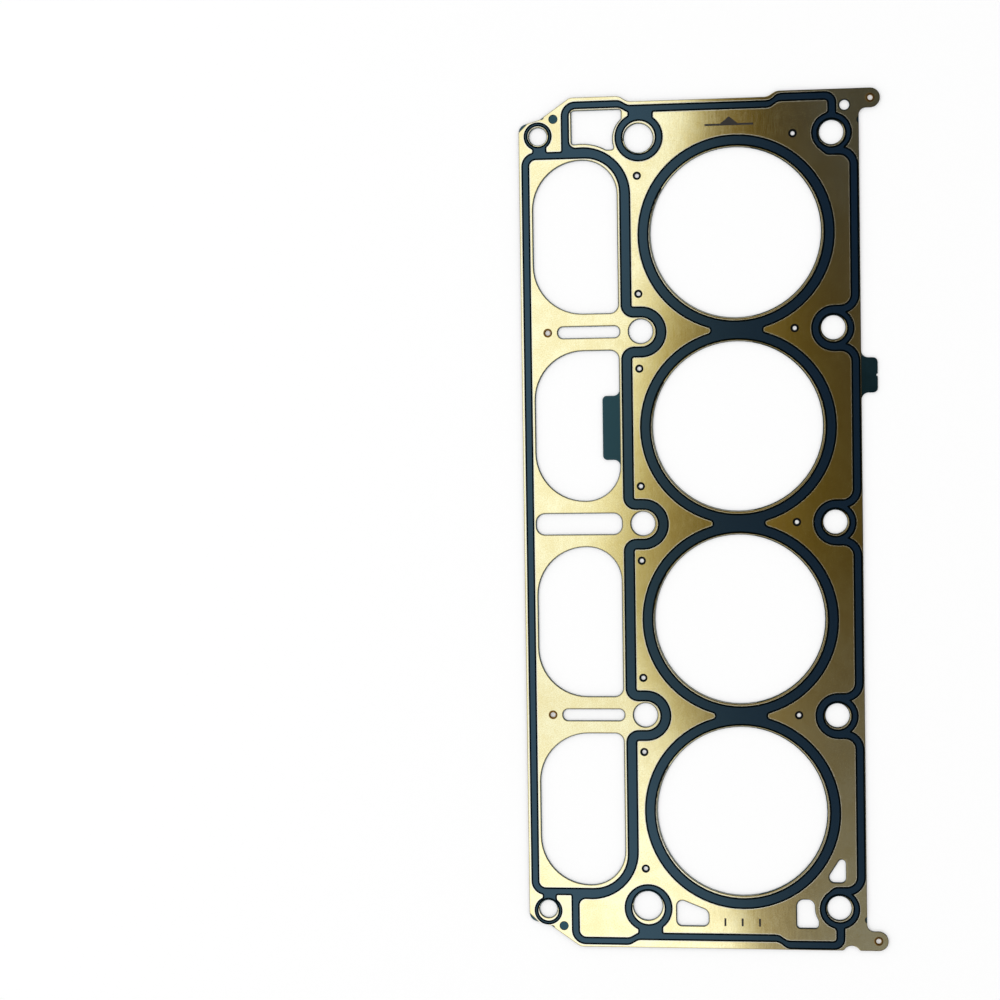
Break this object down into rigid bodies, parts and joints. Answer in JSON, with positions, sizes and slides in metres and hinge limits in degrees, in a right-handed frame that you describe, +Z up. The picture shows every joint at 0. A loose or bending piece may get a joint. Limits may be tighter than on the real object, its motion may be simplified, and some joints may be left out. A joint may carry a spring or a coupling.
{
  "type": "cylinder head gasket",
  "caption": "Layered steel cylinder head gasket that seals the bores, coolant passages and bolt holes between an engine block and its cylinder head.",
  "frame": {"origin": "centre of the head bolt pattern, on the underside of the gasket", "axes": "+Y along the row of bores to the front end, +X across to the side with the ears, +Z up out of the printed face"},
  "size_m": [0.2085, 0.4962, 0.0015],
  "materials": {
    "coated_sheet": "satin gold coat on rolled stainless steel",
    "carrier_sheet": "dark satin coat",
    "seal_print": "matt dark blue elastomer print",
    "stopper_steel": "bright rolled steel",
    "eyelet_steel": "bright plated steel"
  },
  "bodies": {
    "root": {"upper_layer": "coated_sheet", "lower_layer": "coated_sheet", "carrier_layer": "carrier_sheet", "upper_seal_print": "seal_print", "lower_seal_print": "seal_print", "eyelets": "eyelet_steel", "stopper_ring_1": "stopper_steel", "stopper_ring_2": "stopper_steel", "stopper_ring_3": "stopper_steel", "stopper_ring_4": "stopper_steel"}
  },
  "joints": []
}
